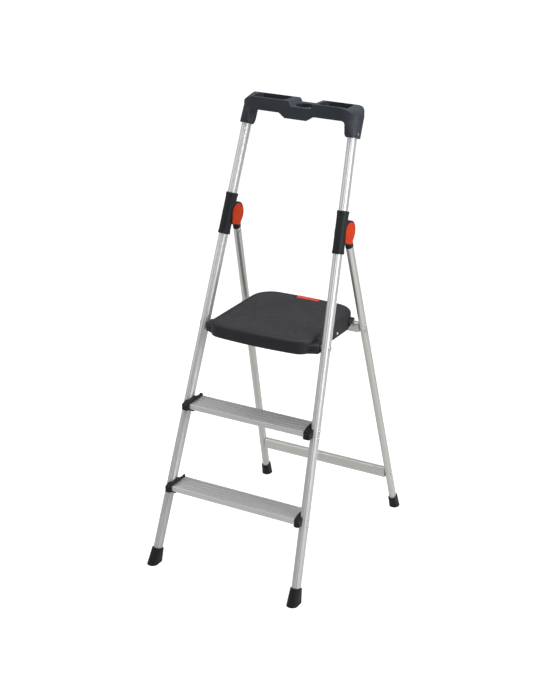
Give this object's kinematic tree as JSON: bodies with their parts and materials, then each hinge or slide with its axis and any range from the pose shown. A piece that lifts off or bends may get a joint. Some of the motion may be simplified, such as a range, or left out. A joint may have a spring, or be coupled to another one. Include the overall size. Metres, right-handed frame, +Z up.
{
  "type": "step stool",
  "caption": "Folding step stool: ribbed treads and a broad platform between sloping tube legs, hinged rear frame, high handle with a tool tray.",
  "frame": {"origin": "on the floor, in the middle of the footprint of the opened stool", "axes": "+X to the climber's right, +Y from the treads towards the rear legs, +Z up"},
  "size_m": [0.478, 0.6784, 1.256],
  "materials": {
    "anodised_tube": "satin anodised, fine lengthwise extrusion lines",
    "brace_metal": "satin anodised",
    "tread_metal": "satin, ribbed along its length",
    "bracket_plastic": "matte moulded",
    "hinge_plastic": "matte moulded, fine grain",
    "tray_plastic": "matte moulded, fine grain",
    "platform_plastic": "matte moulded with a fine diamond grip",
    "cap_orange": "satin moulded",
    "latch_red": "satin moulded",
    "foot_rubber": "matte, ribbed sole edge",
    "plug_plastic": "smooth light grey plastic",
    "washer_nylon": "smooth natural nylon",
    "fastener_steel": "zinc plated",
    "spring_steel": "plain spring wire"
  },
  "bodies": {
    "front_frame": {"handle_screws": "fastener_steel", "hinge_pins": "fastener_steel", "hinge_screws": "fastener_steel", "hinge_washers": "washer_nylon", "left_front_foot": "foot_rubber", "left_hinge_housing": "hinge_plastic", "left_inner_hinge_cap": "cap_orange", "left_lower_tread_bracket": "bracket_plastic", "left_outer_hinge_cap": "cap_orange", "left_upper_tread_bracket": "bracket_plastic", "left_upright": "anodised_tube", "lower_tread": "tread_metal", "pivot_pins": "fastener_steel", "pivot_spacers": "washer_nylon", "right_front_foot": "foot_rubber", "right_hinge_housing": "hinge_plastic", "right_inner_hinge_cap": "cap_orange", "right_lower_tread_bracket": "bracket_plastic", "right_outer_hinge_cap": "cap_orange", "right_upper_tread_bracket": "bracket_plastic", "right_upright": "anodised_tube", "tool_tray_handle": "tray_plastic", "tread_rivets": "fastener_steel", "upper_tread": "tread_metal"},
    "rear_frame": {"brace_plugs": "plug_plastic", "brace_rivets": "fastener_steel", "left_leg_cap": "hinge_plastic", "left_rear_foot": "foot_rubber", "left_rear_leg": "anodised_tube", "leg_cap_rivets": "fastener_steel", "lower_brace": "brace_metal", "right_leg_cap": "hinge_plastic", "right_rear_foot": "foot_rubber", "right_rear_leg": "anodised_tube", "upper_brace": "brace_metal"},
    "platform": {"hook_rivets": "fastener_steel", "latch_pin": "fastener_steel", "latch_spring": "spring_steel", "left_brace_hook": "fastener_steel", "platform_deck": "platform_plastic", "platform_frame": "platform_plastic", "right_brace_hook": "fastener_steel"},
    "latch": {"latch_lever": "latch_red"}
  },
  "joints": [
    {"name": "rear_fold", "type": "hinge", "parent": "front_frame", "child": "rear_frame", "pos_m": [0, 0.04845, 0.9307], "axis": [-1, 0, 0], "range_deg": [0, 35]},
    {"name": "platform_tilt", "type": "hinge", "parent": "front_frame", "child": "platform", "pos_m": [0, -0.08075, 0.65], "axis": [1, 0, 0], "range_deg": [0, 70]},
    {"name": "latch_swing", "type": "hinge", "parent": "platform", "child": "latch", "pos_m": [0, 0.16375, 0.663], "axis": [1, 0, 0], "range_deg": [0, 20], "stiffness_Nm_per_rad": 0.06, "springref_deg": -17.19}
  ],
  "couplings": [
    {"joint": "platform_tilt", "follows": "rear_fold", "ratio": 2}
  ]
}
